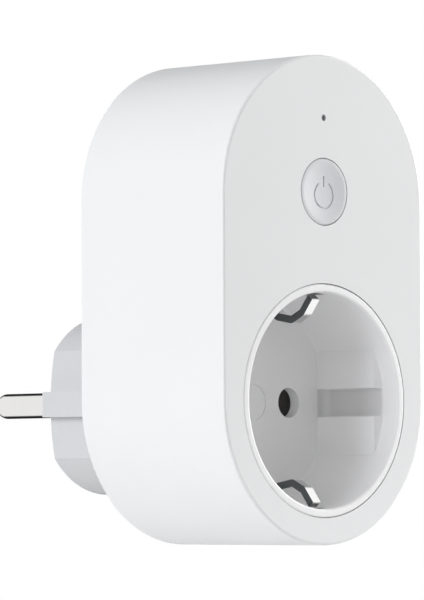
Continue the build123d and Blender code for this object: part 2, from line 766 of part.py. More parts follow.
# ---- Button, tact switch and status light -------------------------------------------------
with BuildPart() as button_cap:
    with BuildSketch(at_depth(0)):
        with Locations((0, button_z)):
            Circle(button_radius)
    extrude(amount=-button_flange_back)
    fillet(button_cap.edges().sort_by(Axis.Y)[0], button_edge_radius)
    with BuildSketch(at_depth(button_flange_front)):
        with Locations((0, button_z)):
            Circle(button_flange_radius)
    extrude(amount=-button_flange_thickness)
    with BuildSketch(at_depth(button_flange_back)):
        with Locations((0, button_z)):
            Circle(button_stem_radius)
    extrude(amount=button_flange_back - plunger_top)
    with Locations((0, y_of(button_dish_depth) - dish_sphere, button_z)):
        Sphere(dish_sphere, mode=Mode.SUBTRACT)
    with BuildSketch(at_depth(0)):
        with Locations((0, button_z - glyph_drop)):
            Circle(glyph_radius + glyph_width / 2)
            Circle(glyph_radius - glyph_width / 2, mode=Mode.SUBTRACT)
        with Locations((0, button_z - glyph_drop + glyph_radius)):
            Rectangle(glyph_gap, glyph_radius, mode=Mode.SUBTRACT)
        with Locations((0, button_z + glyph_bar_rise)):
            Rectangle(glyph_width, glyph_bar_length)
    extrude(amount=-(button_dish_depth + glyph_depth), mode=Mode.SUBTRACT)
button_cap.part.label = "button_cap"
export_step(button_cap.part, "parts/button_cap.step")

with BuildPart() as switch_body:
    with BuildSketch(at_depth(control_board_depth)):
        with Locations((0, button_z)):
            RectangleRounded(switch_body_width, switch_body_width, switch_edge_radius)
    extrude(amount=switch_body_height)
    with BuildSketch(at_depth(control_board_depth - switch_body_height)):
        with Locations((0, button_z)):
            Circle(switch_plunger_radius + pin_clearance)
    extrude(amount=-(switch_body_height - switch_well_floor), mode=Mode.SUBTRACT)
switch_body.part.label = "switch_body"
export_step(switch_body.part, "parts/switch_body.step")

with BuildPart() as switch_plunger:
    with BuildSketch(at_depth(plunger_top)):
        with Locations((0, button_z)):
            Circle(switch_plunger_radius)
    extrude(amount=-(control_board_depth - switch_well_floor - switch_well_room - plunger_top))
switch_plunger.part.label = "switch_plunger"
export_step(switch_plunger.part, "parts/switch_plunger.step")

with BuildPart() as light_pipe:
    with BuildSketch(at_depth(light_stem_recess)):
        with Locations((0, light_z)):
            Circle(light_stem_radius)
    extrude(amount=light_stem_recess - control_board_depth)
    with BuildSketch(at_depth(front_wall + seat_gap)):
        with Locations((0, light_z)):
            Circle(light_base_radius)
    extrude(amount=front_wall + seat_gap - control_board_depth)
    with BuildSketch(at_depth(control_board_depth)):
        with Locations((0, light_z)):
            Circle(led_pocket_radius)
    extrude(amount=led_height + seat_gap, mode=Mode.SUBTRACT)
light_pipe.part.label = "light_pipe"
export_step(light_pipe.part, "parts/light_pipe.step")

with BuildPart() as status_led:
    with BuildSketch(at_depth(control_board_depth)):
        with Locations((0, light_z)):
            Rectangle(led_length, led_width)
    extrude(amount=led_height)
status_led.part.label = "status_led"
export_step(status_led.part, "parts/status_led.step")

# ---- Control board, radio module and board-to-board header --------------------------------
with BuildPart() as control_board:
    with BuildSketch(at_depth(control_board_depth)):
        with Locations((0, (control_board_bottom + control_board_top) / 2)):
            RectangleRounded(
                2 * control_board_half_width,
                control_board_top - control_board_bottom,
                small_post_radius,
            )
        with Locations(*control_posts):
            Circle(small_shank_radius + screw_hole_clearance, mode=Mode.SUBTRACT)
    extrude(amount=-control_board_thickness)
control_board.part.label = "control_board"
export_step(control_board.part, "parts/control_board.step")

with BuildPart() as radio_module:
    with BuildSketch(at_depth(control_board_back)):
        with Locations((0, radio_z)):
            Rectangle(radio_width, radio_length)
    extrude(amount=-radio_thickness)
radio_module.part.label = "radio_module"
export_step(radio_module.part, "parts/radio_module.step")

with BuildPart() as radio_shield:
    with BuildSketch(at_depth(control_board_back + radio_thickness)):
        with Locations((0, shield_z)):
            RectangleRounded(shield_width, shield_length, shield_wall)
    extrude(amount=-shield_height)
    with BuildSketch(at_depth(control_board_back + radio_thickness)):
        with Locations((0, shield_z)):
            Rectangle(shield_width - 2 * shield_wall, shield_length - 2 * shield_wall)
    extrude(amount=shield_wall - shield_height, mode=Mode.SUBTRACT)
radio_shield.part.label = "radio_shield"
export_step(radio_shield.part, "parts/radio_shield.step")

with BuildPart() as board_header:
    with BuildSketch(at_depth(control_board_back)):
        with Locations((0, header_z)):
            Rectangle(header_pins * header_pitch, header_bar)
    extrude(amount=-header_bar)
    with BuildSketch(at_depth(control_board_back + header_bar)):
        with Locations((0, header_z)):
            with GridLocations(header_pitch, 0, header_pins, 1):
                Rectangle(header_pin_width, header_pin_width)
    extrude(amount=control_board_back + header_bar - power_board_depth)
board_header.part.label = "board_header"
export_step(board_header.part, "parts/board_header.step")

# ---- Power board --------------------------------------------------------------------------
with BuildPart() as power_board:
    with BuildSketch(at_depth(power_board_depth)):
        lobed_outline(case_wall + power_board_inset)
        with Locations((0, power_board_bottom - case_height / 2)):
            Rectangle(case_width, case_height, mode=Mode.SUBTRACT)
        with Locations(*shell_posts):
            Circle(well_outer_radius + post_room, mode=Mode.SUBTRACT)
        with Locations(*board_posts):
            Circle(small_shank_radius + screw_hole_clearance, mode=Mode.SUBTRACT)
    extrude(amount=-power_board_thickness)
power_board.part.label = "power_board"
export_step(power_board.part, "parts/power_board.step")

# ---- Relay: base with yoke, coil with core, armature and case ------------------------------
with BuildPart() as relay_base:
    with BuildSketch(at_depth(power_board_depth)):
        with Locations((relay_x, relay_z)):
            Rectangle(
                relay_length - 2 * (relay_wall + seam_gap),
                relay_width - 2 * (relay_wall + seam_gap),
            )
    extrude(amount=relay_base_thickness)
    with BuildSketch(at_depth(relay_base_front)):
        with Locations((relay_x + relay_yoke_x, relay_z)):
            Rectangle(relay_yoke_thickness, 2 * armature_half_width)
    extrude(amount=relay_base_front - yoke_axis_depth)
    with BuildSketch(Plane.XY.offset(relay_z - armature_half_width)):
        with Locations((relay_x + relay_yoke_x, y_of(yoke_axis_depth))):
            Circle(relay_yoke_thickness / 2)
    extrude(amount=2 * armature_half_width)
relay_base.part.label = "relay_base"
export_step(relay_base.part, "parts/relay_base.step")

with BuildPart() as relay_coil:
    with BuildSketch(at_depth(relay_base_front)):
        with Locations((relay_x + relay_coil_x, relay_z)):
            Circle(relay_core_radius)
    extrude(amount=relay_base_front - relay_core_front)
    with BuildSketch(at_depth(relay_base_front - seat_gap)):
        with Locations((relay_x + relay_coil_x, relay_z)):
            Circle(relay_coil_radius)
    extrude(amount=relay_coil_length)
relay_coil.part.label = "relay_coil"
export_step(relay_coil.part, "parts/relay_coil.step")

with BuildPart() as relay_armature:
    with BuildSketch(at_depth(armature_back)):
        with Locations((relay_x + (armature_left + armature_right) / 2, relay_z)):
            Rectangle(armature_right - armature_left, 2 * armature_half_width)
    extrude(amount=armature_thickness)
relay_armature.part.label = "relay_armature"
export_step(relay_armature.part, "parts/relay_armature.step")

with BuildPart() as relay_case:
    with BuildSketch(at_depth(power_board_depth)):
        with Locations((relay_x, relay_z)):
            Rectangle(relay_length, relay_width)
    extrude(amount=relay_height)
    with BuildSketch(at_depth(power_board_depth)):
        with Locations((relay_x, relay_z)):
            Rectangle(relay_length - 2 * relay_wall, relay_width - 2 * relay_wall)
    extrude(amount=relay_height - relay_wall, mode=Mode.SUBTRACT)
relay_case.part.label = "relay_case"
export_step(relay_case.part, "parts/relay_case.step")

# ---- Supply components on the power board ---------------------------------------------------
with BuildPart() as transformer_coil:
    with BuildSketch(at_depth(power_board_depth)):
        with Locations((transformer_x, transformer_z)):
            Rectangle(transformer_length, transformer_width)
    extrude(amount=transformer_bobbin_inset)
    with BuildSketch(at_depth(power_board_depth - transformer_bobbin_inset)):
        with Locations((transformer_x, transformer_z)):
            Rectangle(
                transformer_length - 2 * transformer_bobbin_inset,
                transformer_width - 2 * transformer_bobbin_inset,
            )
    extrude(amount=transformer_height - 2 * transformer_bobbin_inset)
transformer_coil.part.label = "transformer_coil"
export_step(transformer_coil.part, "parts/transformer_coil.step")

with BuildPart() as transformer_core:
    with BuildSketch(at_depth(power_board_depth - transformer_bobbin_inset)):
        with Locations((transformer_x, transformer_z)):
            Rectangle(transformer_length, transformer_core_band)
    extrude(amount=transformer_height - transformer_bobbin_inset)
    with BuildSketch(at_depth(power_board_depth - transformer_bobbin_inset)):
        with Locations((transformer_x, transformer_z)):
            Rectangle(transformer_length - 2 * transformer_bobbin_inset, transformer_width)
    extrude(amount=transformer_height - 2 * transformer_bobbin_inset, mode=Mode.SUBTRACT)
transformer_core.part.label = "transformer_core"
export_step(transformer_core.part, "parts/transformer_core.step")

with BuildPart() as film_capacitor:
    with BuildSketch(at_depth(power_board_depth)):
        with Locations((film_capacitor_x, film_capacitor_z)):
            Rectangle(film_capacitor_length, film_capacitor_width)
    extrude(amount=film_capacitor_height)
    fillet(film_capacitor.edges().group_by(Axis.Y)[0], bulk_edge_radius)
film_capacitor.part.label = "film_capacitor"
export_step(film_capacitor.part, "parts/film_capacitor.step")

with BuildPart() as bulk_capacitors:
    with BuildSketch(at_depth(power_board_depth)):
        with Locations(*bulk_places):
            Circle(bulk_radius)
    extrude(amount=bulk_height)
    fillet(bulk_capacitors.edges().group_by(Axis.Y)[0], bulk_edge_radius)
    with BuildSketch(at_depth(power_board_depth - bulk_groove_height)):
        with Locations(*bulk_places):
            Circle(bulk_radius)
            Circle(bulk_radius - bulk_groove_depth, mode=Mode.SUBTRACT)
    extrude(amount=bulk_edge_radius, mode=Mode.SUBTRACT)
bulk_capacitors.part.label = "bulk_capacitors"
export_step(bulk_capacitors.part, "parts/bulk_capacitors.step")

with BuildPart() as varistor:
    with BuildSketch(side_plane(varistor_x)):
        with Locations((y_of(power_board_depth - varistor_stand - varistor_radius), varistor_z)):
            Circle(varistor_radius)
    extrude(amount=varistor_thickness / 2, both=True)
    fillet(varistor.edges().filter_by(GeomType.CIRCLE), varistor_stand)
    with BuildSketch(at_depth(power_board_depth)):
        with Locations((varistor_x, varistor_z)):
            with GridLocations(0, varistor_radius, 1, 2):
                Circle(header_pin_width / 2)
    extrude(amount=varistor_stand + varistor_radius)
varistor.part.label = "varistor"
export_step(varistor.part, "parts/varistor.step")

with BuildPart() as fuse:
    with BuildSketch(at_depth(power_board_depth)):
        with Locations((fuse_x, fuse_z)):
            Circle(fuse_radius)
    extrude(amount=fuse_height)
    fillet(fuse.edges().group_by(Axis.Y)[0], bulk_edge_radius)
fuse.part.label = "fuse"
export_step(fuse.part, "parts/fuse.step")

with BuildPart() as rectifier:
    with BuildSketch(at_depth(power_board_depth)):
        with Locations((rectifier_x, rectifier_z)):
            Rectangle(rectifier_length, rectifier_width)
    extrude(amount=rectifier_height)
rectifier.part.label = "rectifier"
export_step(rectifier.part, "parts/rectifier.step")

with BuildPart() as filter_choke:
    with BuildSketch(at_depth(power_board_depth)):
        with Locations((choke_x, choke_z)):
            Circle(choke_radius)
    extrude(amount=choke_height)
    with BuildSketch(at_depth(power_board_depth - choke_flange)):
        with Locations((choke_x, choke_z)):
            Circle(choke_radius)
            Circle(choke_radius - choke_waist, mode=Mode.SUBTRACT)
    extrude(amount=choke_height - 2 * choke_flange, mode=Mode.SUBTRACT)
filter_choke.part.label = "filter_choke"
export_step(filter_choke.part, "parts/filter_choke.step")


# ---- Screws: each set is one group of separate solids ---------------------------------------
def make_screws(places, seat, facing, shank_radius, head_radius, head_height, length):
    """Screws whose heads sit at a depth; facing is 1 where the tips point at the viewer."""
    with BuildPart() as group:
        with BuildSketch(at_depth(seat)):
            with Locations(*places):
                Circle(head_radius)
        extrude(amount=-facing * head_height)
        fillet(group.edges().group_by(Axis.Y)[-1 if facing > 0 else 0], head_height / 4)
        with BuildSketch(at_depth(seat)):
            with Locations(*places):
                Circle(shank_radius)
        extrude(amount=facing * length)
        with BuildSketch(at_depth(seat + facing * head_height)):
            with Locations(*places):
                Rectangle(2 * drive_socket_radius, drive_slot_width)
                Rectangle(drive_slot_width, 2 * drive_socket_radius)
        extrude(amount=facing * drive_socket_depth, mode=Mode.SUBTRACT)
    return group


cover_size = (cover_shank_radius, cover_head_radius, cover_head_height, cover_screw_length)
small_size = (small_shank_radius, small_head_radius, small_head_height, small_screw_length)

cover_screws = make_screws(shell_posts + cup_posts, case_depth - well_depth, 1, *cover_size)
cover_screws.part.label = "cover_screws"
export_step(cover_screws.part, "parts/cover_screws.step")

carrier_screws = make_screws(carrier_posts, carrier_back, 1, *small_size)
carrier_screws.part.label = "carrier_screws"
export_step(carrier_screws.part, "parts/carrier_screws.step")

control_screws = make_screws(control_posts, control_board_back, 1, *small_size)
control_screws.part.label = "control_screws"
export_step(control_screws.part, "parts/control_screws.step")

board_screws = make_screws(board_posts, power_board_depth, -1, *small_size)
board_screws.part.label = "board_screws"
export_step(board_screws.part, "parts/board_screws.step")

pin_carrier_front = pin_collar_back - pin_carrier_thickness
pin_carrier_screws = make_screws(pin_carrier_posts, pin_carrier_front, -1, *small_size)
pin_carrier_screws.part.label = "pin_carrier_screws"
export_step(pin_carrier_screws.part, "parts/pin_carrier_screws.step")
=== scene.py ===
import json
import math
import bmesh
import bpy
from mathutils import Matrix, Vector


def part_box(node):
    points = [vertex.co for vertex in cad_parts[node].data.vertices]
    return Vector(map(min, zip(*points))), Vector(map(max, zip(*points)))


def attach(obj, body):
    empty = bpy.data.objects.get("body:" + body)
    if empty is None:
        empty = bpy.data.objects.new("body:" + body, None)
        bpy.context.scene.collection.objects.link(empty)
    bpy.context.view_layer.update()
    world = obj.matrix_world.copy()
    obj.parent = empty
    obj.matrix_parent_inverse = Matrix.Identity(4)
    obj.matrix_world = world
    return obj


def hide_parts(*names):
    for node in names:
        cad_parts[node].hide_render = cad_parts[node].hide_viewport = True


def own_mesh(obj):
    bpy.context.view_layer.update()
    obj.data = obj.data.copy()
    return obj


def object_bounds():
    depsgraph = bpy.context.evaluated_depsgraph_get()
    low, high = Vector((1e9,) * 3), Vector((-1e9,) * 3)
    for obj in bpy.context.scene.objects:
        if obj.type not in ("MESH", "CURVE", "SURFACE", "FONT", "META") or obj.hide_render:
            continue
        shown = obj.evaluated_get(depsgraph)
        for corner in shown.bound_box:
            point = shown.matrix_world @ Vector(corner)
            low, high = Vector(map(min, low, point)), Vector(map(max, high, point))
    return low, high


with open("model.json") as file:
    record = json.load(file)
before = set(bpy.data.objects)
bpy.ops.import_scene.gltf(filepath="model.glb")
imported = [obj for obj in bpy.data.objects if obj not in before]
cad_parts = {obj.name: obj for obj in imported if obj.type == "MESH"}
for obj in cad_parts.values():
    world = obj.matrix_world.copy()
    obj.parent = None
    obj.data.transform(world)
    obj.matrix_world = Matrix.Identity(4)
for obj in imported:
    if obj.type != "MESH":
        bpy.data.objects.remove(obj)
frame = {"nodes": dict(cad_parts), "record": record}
nodes = frame["nodes"]
cad_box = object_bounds()

MM = 0.001
FRONT_Y = cad_box[0][1]       # the front face; depth is counted behind it


# ---- Shader groups -----------------------------------------------------------------------
def shader_group(name, inputs, outputs):
    """A shader node group with the named sockets; returns it and its two end nodes."""
    group = bpy.data.node_groups.new(name, "ShaderNodeTree")
    for label, kind, value in inputs:
        socket = group.interface.new_socket(label, in_out="INPUT", socket_type=kind)
        socket.default_value = value
    for label, kind in outputs:
        group.interface.new_socket(label, in_out="OUTPUT", socket_type=kind)
    start = group.nodes.new("NodeGroupInput")
    end = group.nodes.new("NodeGroupOutput")
    return group, start, end


def noise(tree, vector, scale, detail, roughness=0.5):
    """A noise texture on a vector, with fixed detail."""
    node = tree.nodes.new("ShaderNodeTexNoise")
    node.inputs["Detail"].default_value = detail
    node.inputs["Roughness"].default_value = roughness
    tree.links.new(vector, node.inputs["Vector"])
    if isinstance(scale, (int, float)):
        node.inputs["Scale"].default_value = scale
    else:
        tree.links.new(scale, node.inputs["Scale"])
    return node.outputs["Fac"]


def math_node(tree, operation, *values):
    """A math node on numbers or sockets."""
    node = tree.nodes.new("ShaderNodeMath")
    node.operation = operation
    for socket, value in zip(node.inputs, values):
        if isinstance(value, (int, float)):
            socket.default_value = value
        else:
            tree.links.new(value, socket)
    return node.outputs[0]


def shade(tree, colour, factor):
    """A colour made lighter or darker by a factor near 1."""
    node = tree.nodes.new("ShaderNodeVectorMath")
    node.operation = "SCALE"
    tree.links.new(colour, node.inputs[0])
    tree.links.new(factor, node.inputs["Scale"])
    return node.outputs[0]


def make_moulded_grain():
    """Spark-eroded mould texture: a fine grain, and a slow drift of colour and gloss."""
    tree, start, end = shader_group(
        "moulded_grain",
        [
            ("Colour", "NodeSocketColor", (0.8, 0.8, 0.8, 1.0)),
            ("Gloss Level", "NodeSocketFloat", 0.45),
            ("Gloss Drift", "NodeSocketFloat", 0.05),
            ("Grain Scale", "NodeSocketFloat", 4000.0),
            ("Grain Height", "NodeSocketFloat", 0.1),
        ],
        [("Colour", "NodeSocketColor"), ("Roughness", "NodeSocketFloat"), ("Normal", "NodeSocketVector")],
    )
    place = tree.nodes.new("ShaderNodeTexCoord").outputs["Object"]
    drift = noise(tree, place, 60.0, 2.0)
    cloud = noise(tree, place, 420.0, 3.0)
    grain = noise(tree, place, start.outputs["Grain Scale"], 2.0, 0.6)
    tone = math_node(tree, "MULTIPLY_ADD", drift, 0.03, 0.985)
    tone = math_node(tree, "MULTIPLY_ADD", cloud, 0.012, math_node(tree, "SUBTRACT", tone, 0.006))
    tree.links.new(shade(tree, start.outputs["Colour"], tone), end.inputs["Colour"])
    swing = math_node(tree, "SUBTRACT", math_node(tree, "ADD", cloud, grain), 1.0)
    rough = math_node(tree, "MULTIPLY_ADD", swing, start.outputs["Gloss Drift"], start.outputs["Gloss Level"])
    tree.links.new(rough, end.inputs["Roughness"])
    bump = tree.nodes.new("ShaderNodeBump")
    bump.inputs["Distance"].default_value = 0.02 * MM
    tree.links.new(start.outputs["Grain Height"], bump.inputs["Strength"])
    tree.links.new(grain, bump.inputs["Height"])
    tree.links.new(bump.outputs["Normal"], end.inputs["Normal"])
    return tree


def make_metal_finish():
    """Plated or drawn metal: hairlines along one direction, faint stains and handling marks."""
    tree, start, end = shader_group(
        "metal_finish",
        [
            ("Colour", "NodeSocketColor", (0.7, 0.7, 0.7, 1.0)),
            ("Gloss Level", "NodeSocketFloat", 0.22),
            ("Hairline Stretch", "NodeSocketVector", (1.0, 0.05, 1.0)),
            ("Hairline Scale", "NodeSocketFloat", 9000.0),
            ("Hairline Height", "NodeSocketFloat", 0.1),
            ("Stain", "NodeSocketFloat", 0.1),
        ],
        [("Colour", "NodeSocketColor"), ("Roughness", "NodeSocketFloat"), ("Normal", "NodeSocketVector")],
    )
    place = tree.nodes.new("ShaderNodeTexCoord").outputs["Object"]
    along = tree.nodes.new("ShaderNodeVectorMath")
    along.operation = "MULTIPLY"
    tree.links.new(place, along.inputs[0])
    tree.links.new(start.outputs["Hairline Stretch"], along.inputs[1])
    hair = noise(tree, along.outputs[0], start.outputs["Hairline Scale"], 3.0, 0.6)
    cloud = noise(tree, place, 350.0, 4.0, 0.6)
    dark = math_node(tree, "MULTIPLY", cloud, start.outputs["Stain"])
    tone = math_node(tree, "SUBTRACT", 1.0, dark)
    tree.links.new(shade(tree, start.outputs["Colour"], tone), end.inputs["Colour"])
    gloss_swing = 0.12
    swing = math_node(tree, "ADD", cloud, hair)
    rough = math_node(tree, "MULTIPLY_ADD", swing, gloss_swing, start.outputs["Gloss Level"])
    tree.links.new(math_node(tree, "SUBTRACT", rough, gloss_swing), end.inputs["Roughness"])
    bump = tree.nodes.new("ShaderNodeBump")
    bump.inputs["Distance"].default_value = 0.01 * MM
    tree.links.new(start.outputs["Hairline Height"], bump.inputs["Strength"])
    tree.links.new(hair, bump.inputs["Height"])
    tree.links.new(bump.outputs["Normal"], end.inputs["Normal"])
    return tree


moulded_grain = make_moulded_grain()
metal_finish = make_metal_finish()


# ---- Materials ---------------------------------------------------------------------------
def material(name, group, inputs, **uniform):
    """A material with a group for its colour, roughness and normal; uniform sets its other sockets."""
    made = bpy.data.materials.new(name)
    made.use_nodes = True
    tree = made.node_tree
    principled = tree.nodes["Principled BSDF"]
    surface = tree.nodes.new("ShaderNodeGroup")
    surface.node_tree = group
    for label, value in inputs.items():
        surface.inputs[label].default_value = value
    tree.links.new(surface.outputs["Colour"], principled.inputs["Base Color"])
    tree.links.new(surface.outputs["Roughness"], principled.inputs["Roughness"])
    tree.links.new(surface.outputs["Normal"], principled.inputs["Normal"])
    for label, value in uniform.items():
        principled.inputs[label].default_value = value
    return made


def plastic(name, colour, gloss, height=0.1):
    """Moulded plastic, lacquer or tape in one colour."""
    return material(
        name, moulded_grain, {"Colour": (*colour, 1.0), "Gloss Level": gloss, "Grain Height": height}
    )


def metal(name, colour, gloss, stain=0.1, height=0.1):
    """Bare or plated metal, with its hairlines along Y."""
    return material(
        name,
        metal_finish,
        {"Colour": (*colour, 1.0), "Gloss Level": gloss, "Stain": stain, "Hairline Height": height},
        Metallic=1.0,
    )


def painted_hollow_shade(finish, hollows):
    """Paints shade into a finish inside box-shaped hollows, where little light reaches.

    Each hollow is (reach along X, reach along Z, depth, tone of the painted shade). A reach is (from, to),
    counted from the socket's axis to both sides, and the depth is how far behind the front face the hollow
    starts.
    """
    tree = finish.node_tree
    principled = tree.nodes["Principled BSDF"]
    split = tree.nodes.new("ShaderNodeSeparateXYZ")
    tree.links.new(tree.nodes.new("ShaderNodeTexCoord").outputs["Object"], split.inputs[0])
    reach = {axis: math_node(tree, "ABSOLUTE", split.outputs[axis]) for axis in "XZ"}

    def within(value, low, high, edge):
        """1 from low to high, falling to 0 outside them over the edge."""
        inside = []
        for start, stop in ((low - edge, low), (high + edge, high)):
            ramp = tree.nodes.new("ShaderNodeMapRange")
            ramp.inputs["From Min"].default_value = start
            ramp.inputs["From Max"].default_value = stop
            tree.links.new(value, ramp.inputs["Value"])
            inside.append(ramp.outputs["Result"])
        return math_node(tree, "MULTIPLY", *inside)

    edge_across, edge_up, edge_behind = 0.15 * MM, 0.3 * MM, 0.6 * MM
    tone = None
    for across, up, behind, shade_level in hollows:
        mask_across, mask_up = within(reach["X"], *across, edge_across), within(reach["Z"], *up, edge_up)
        mask_behind = within(split.outputs["Y"], FRONT_Y + behind, 0.0, edge_behind)
        shade_mask = math_node(tree, "MULTIPLY", math_node(tree, "MULTIPLY", mask_across, mask_up), mask_behind)
        here = math_node(tree, "SUBTRACT", 1.0, math_node(tree, "MULTIPLY", shade_mask, 1 - shade_level))
        tone = here if tone is None else math_node(tree, "MULTIPLY", tone, here)
    colour = principled.inputs["Base Color"].links[0].from_socket
    tree.links.new(shade(tree, colour, tone), principled.inputs["Base Color"])
    return finish


def sheared_and_shaded(finish, edge_colour_and_shade, edge_gloss):
    """Darkens and dulls the faces that look along X, the cut edges of a strip stamped from sheet: the dulling
    is their own, and their dark colour is partly their own and partly painted shade.
    """
    tree = finish.node_tree
    principled = tree.nodes["Principled BSDF"]
    split = tree.nodes.new("ShaderNodeSeparateXYZ")
    tree.links.new(tree.nodes.new("ShaderNodeTexCoord").outputs["Normal"], split.inputs[0])
    edge = math_node(tree, "GREATER_THAN", math_node(tree, "ABSOLUTE", split.outputs["X"]), 0.8)
    edge_values = (("Base Color", "RGBA", (*edge_colour_and_shade, 1.0)), ("Roughness", "FLOAT", edge_gloss))
    for label, kind, value in edge_values:
        mix = tree.nodes.new("ShaderNodeMix")
        mix.data_type = kind
        left, right = [socket for socket in mix.inputs if socket.name in ("A", "B") and socket.enabled]
        tree.links.new(edge, mix.inputs["Factor"])
        tree.links.new(principled.inputs[label].links[0].from_socket, left)
        right.default_value = value
        made = next(socket for socket in mix.outputs if socket.enabled)
        tree.links.new(made, principled.inputs[label])
    return finish


# Painted shade: the socket cup's colour is darkened in its clip pockets and guide grooves, where shade falls.
clip_pocket_shade = ((-1 * MM, 3.0 * MM), (19.0 * MM, 23 * MM), 3.2 * MM, 0.45)
guide_groove_shade = ((17.45 * MM, 20.5 * MM), (-1 * MM, 2.3 * MM), 4.4 * MM, 0.8)

finishes = {
    "shell_plastic": plastic("shell_plastic", (0.83, 0.835, 0.84), 0.48),
    # The cover's grey is partly its own tone and partly painted shade for the plug boss, which sits in shade
    # behind the case.
    "cover_plastic": plastic("cover_plastic", (0.61, 0.615, 0.625), 0.5),
    "socket_plastic": painted_hollow_shade(
        plastic("socket_plastic", (0.92, 0.92, 0.925), 0.3, height=0.05), [clip_pocket_shade, guide_groove_shade]
    ),
    "shutter_plastic": plastic("shutter_plastic", (0.9, 0.9, 0.9), 0.45),
    "carrier_plastic": plastic("carrier_plastic", (0.62, 0.61, 0.58), 0.5),
    "button_plastic": plastic("button_plastic", (0.65, 0.66, 0.68), 0.3, height=0.05),
    "spring_steel": metal("spring_steel", (0.5, 0.5, 0.5), 0.25),
    "contact_brass": metal("contact_brass", (0.72, 0.5, 0.22), 0.28),
    # Painted shade in part: the nickel's faces that look along X get a near-black colour, partly the cut
    # edges' own and partly painted shade.
    "nickel": sheared_and_shaded(
        metal("nickel", (0.95, 0.95, 0.94), 0.08, stain=0.04, height=0.02),
        edge_colour_and_shade=(0.13, 0.14, 0.14), edge_gloss=0.3,
    ),
    "pin_nickel": metal("pin_nickel", (0.82, 0.815, 0.805), 0.08, stain=0.05, height=0.02),
    "lead_brown": plastic("lead_brown", (0.16, 0.06, 0.025), 0.4),
    "lead_blue": plastic("lead_blue", (0.03, 0.1, 0.42), 0.4),
    "black_plastic": plastic("black_plastic", (0.02, 0.02, 0.022), 0.42),
    "plunger_plastic": plastic("plunger_plastic", (0.35, 0.35, 0.33), 0.4),
    "light_pipe": plastic("light_pipe", (0.18, 0.18, 0.19), 0.12),
    "led_body": plastic("led_body", (0.75, 0.7, 0.5), 0.2),
    "board": plastic("board", (0.02, 0.11, 0.04), 0.3),
    "radio_board": plastic("radio_board", (0.01, 0.02, 0.08), 0.3),
    "tin_shield": metal("tin_shield", (0.6, 0.6, 0.6), 0.3),
    "relay_base": plastic("relay_base", (0.03, 0.03, 0.035), 0.45),
    "relay_case": plastic("relay_case", (0.015, 0.06, 0.2), 0.3),
    "relay_steel": metal("relay_steel", (0.5, 0.5, 0.5), 0.3),
    "copper_coil": metal("copper_coil", (0.6, 0.25, 0.1), 0.3),
    "ferrite": plastic("ferrite", (0.035, 0.035, 0.04), 0.55),
    "tape_yellow": plastic("tape_yellow", (0.6, 0.42, 0.03), 0.3),
    "film_box": plastic("film_box", (0.55, 0.33, 0.03), 0.35),
    "can_sleeve": plastic("can_sleeve", (0.03, 0.035, 0.06), 0.25),
    "varistor_blue": plastic("varistor_blue", (0.02, 0.07, 0.3), 0.3),
    "fuse_body": plastic("fuse_body", (0.05, 0.05, 0.05), 0.45),
    "screw_steel": metal("screw_steel", (0.5, 0.5, 0.52), 0.3),
    "relay_bobbin": plastic("relay_bobbin", (0.03, 0.03, 0.035), 0.4),
    "solder_tin": metal("solder_tin", (0.62, 0.62, 0.63), 0.22),
}

for part in frame["record"]["subparts"]:
    node = nodes[part["node"]]
    node.data.materials.clear()
    node.data.materials.append(finishes[part["material_slot"]])


# ---- Detailed pieces -----------------------------------------------------------------------
def shape_tree(name, inputs):
    """A geometry node tree with the named inputs and one geometry output."""
    tree = bpy.data.node_groups.new(name, "GeometryNodeTree")
    for label, kind, value in inputs:
        socket = tree.interface.new_socket(label, in_out="INPUT", socket_type=kind)
        if value is not None:
            socket.default_value = value
    tree.interface.new_socket("Geometry", in_out="OUTPUT", socket_type="NodeSocketGeometry")
    return tree, tree.nodes.new("NodeGroupInput"), tree.nodes.new("NodeGroupOutput")


def finish_tree(tree, geometry, start, end):
    """Realizes the instances, sets the finish and ends the tree."""
    realize = tree.nodes.new("GeometryNodeRealizeInstances")
    finish = tree.nodes.new("GeometryNodeSetMaterial")
    tree.links.new(geometry, realize.inputs["Geometry"])
    tree.links.new(realize.outputs["Geometry"], finish.inputs["Geometry"])
    tree.links.new(start.outputs["Finish"], finish.inputs["Material"])
    tree.links.new(finish.outputs["Geometry"], end.inputs["Geometry"])


def make_wound_wire():
    """Round wire wound in a helix, turned and moved to where it belongs."""
    tree, start, end = shape_tree(
        "wound_wire",
        [
            ("Coil Radius", "NodeSocketFloat", 0.001),
            ("Wire Radius", "NodeSocketFloat", 0.0002),
            ("Turns", "NodeSocketFloat", 10.0),
            ("Length", "NodeSocketFloat", 0.01),
            ("Turned", "NodeSocketVector", (0.0, 0.0, 0.0)),
            ("Foot", "NodeSocketVector", (0.0, 0.0, 0.0)),
            ("Finish", "NodeSocketMaterial", None),
        ],
    )
    helix = tree.nodes.new("GeometryNodeCurveSpiral")
    helix.inputs["Resolution"].default_value = 28
    section = tree.nodes.new("GeometryNodeCurvePrimitiveCircle")
    section.inputs["Resolution"].default_value = 8
    sweep = tree.nodes.new("GeometryNodeCurveToMesh")
    sweep.inputs["Fill Caps"].default_value = True
    place = tree.nodes.new("GeometryNodeTransform")
    tree.links.new(start.outputs["Turns"], helix.inputs["Rotations"])
    tree.links.new(start.outputs["Coil Radius"], helix.inputs["Start Radius"])
    tree.links.new(start.outputs["Coil Radius"], helix.inputs["End Radius"])
    tree.links.new(start.outputs["Length"], helix.inputs["Height"])
    tree.links.new(start.outputs["Wire Radius"], section.inputs["Radius"])
    tree.links.new(helix.outputs["Curve"], sweep.inputs["Curve"])
    tree.links.new(section.outputs["Curve"], sweep.inputs["Profile Curve"])
    tree.links.new(sweep.outputs["Mesh"], place.inputs["Geometry"])
    tree.links.new(start.outputs["Turned"], place.inputs["Rotation"])
    tree.links.new(start.outputs["Foot"], place.inputs["Translation"])
    finish_tree(tree, place.outputs["Geometry"], start, end)
    return tree


